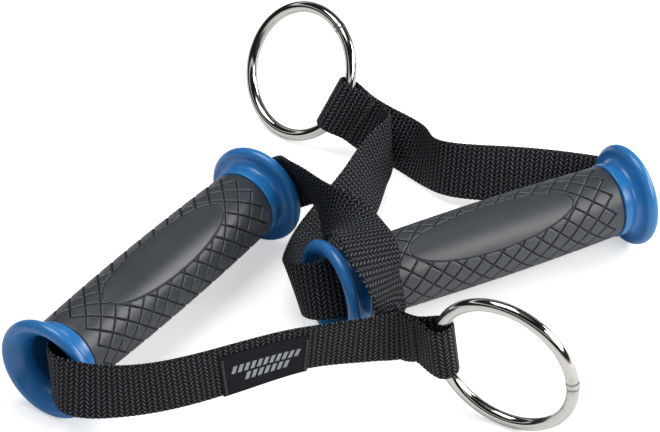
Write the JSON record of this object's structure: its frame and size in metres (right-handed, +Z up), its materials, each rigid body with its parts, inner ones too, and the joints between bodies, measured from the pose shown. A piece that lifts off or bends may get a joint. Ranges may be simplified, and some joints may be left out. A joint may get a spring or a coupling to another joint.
{
  "type": "cable handle",
  "caption": "Pair of cable handles with rubber grips, trumpet flanges and webbing loops that hold a steel ring each.",
  "frame": {"origin": "middle of the pair's footprint, on the floor that it lies on", "axes": "+X to the right and +Y away from the viewer of the picture, +Z up; the left handle is the one nearer to the viewer"},
  "size_m": [0.278, 0.2714, 0.0654],
  "materials": {
    "rubber": "satin moulded rubber",
    "tube_plastic": "plain moulded plastic",
    "flange_plastic": "satin to gloss blue plastic",
    "webbing": "woven webbing",
    "thread": "sewing thread",
    "label_cloth": "woven label",
    "ring_steel": "polished nickel plate"
  },
  "bodies": {
    "right_strap": {"right_strap": "webbing", "right_tack_front": "thread", "right_tack_back": "thread"},
    "right_handle": {"right_grip": "rubber", "right_core_tube": "tube_plastic", "right_flange_near": "flange_plastic", "right_flange_far": "flange_plastic"},
    "right_ring": {"right_ring": "ring_steel"},
    "left_strap": {"left_strap": "webbing", "left_tack_front": "thread", "left_tack_back": "thread", "left_label": "label_cloth", "left_label_stitch_start": "thread", "left_label_stitch_end": "thread"},
    "left_handle": {"left_grip": "rubber", "left_core_tube": "tube_plastic", "left_flange_near": "flange_plastic", "left_flange_far": "flange_plastic"},
    "left_ring": {"left_ring": "ring_steel"}
  },
  "joints": [
    {"name": "right_handle_spin", "type": "hinge", "parent": "right_strap", "child": "right_handle", "pos_m": [0.06106, -0.01924, 0.023], "axis": [0.8755, 0.4831, 0], "continuous": true},
    {"name": "right_ring_swing", "type": "hinge", "parent": "right_strap", "child": "right_ring", "pos_m": [-0.00047, 0.08791, 0.02428], "axis": [0.4611, 0.174, 0.8701], "range_deg": [-150, 125]},
    {"name": "left_lift_off", "type": "slide", "parent": "right_strap", "child": "left_strap", "axis": [0, 0, 1], "range_m": [0, 0.2]},
    {"name": "left_handle_spin", "type": "hinge", "parent": "left_strap", "child": "left_handle", "pos_m": [-0.07839, -0.0453, 0.023], "axis": [0.548, 0.8365, 0], "continuous": true},
    {"name": "left_ring_swing", "type": "hinge", "parent": "left_strap", "child": "left_ring", "pos_m": [0.04068, -0.10285, 0.03028], "axis": [-0.125, -0.043, 0.9912], "range_deg": [-135, 95]}
  ]
}
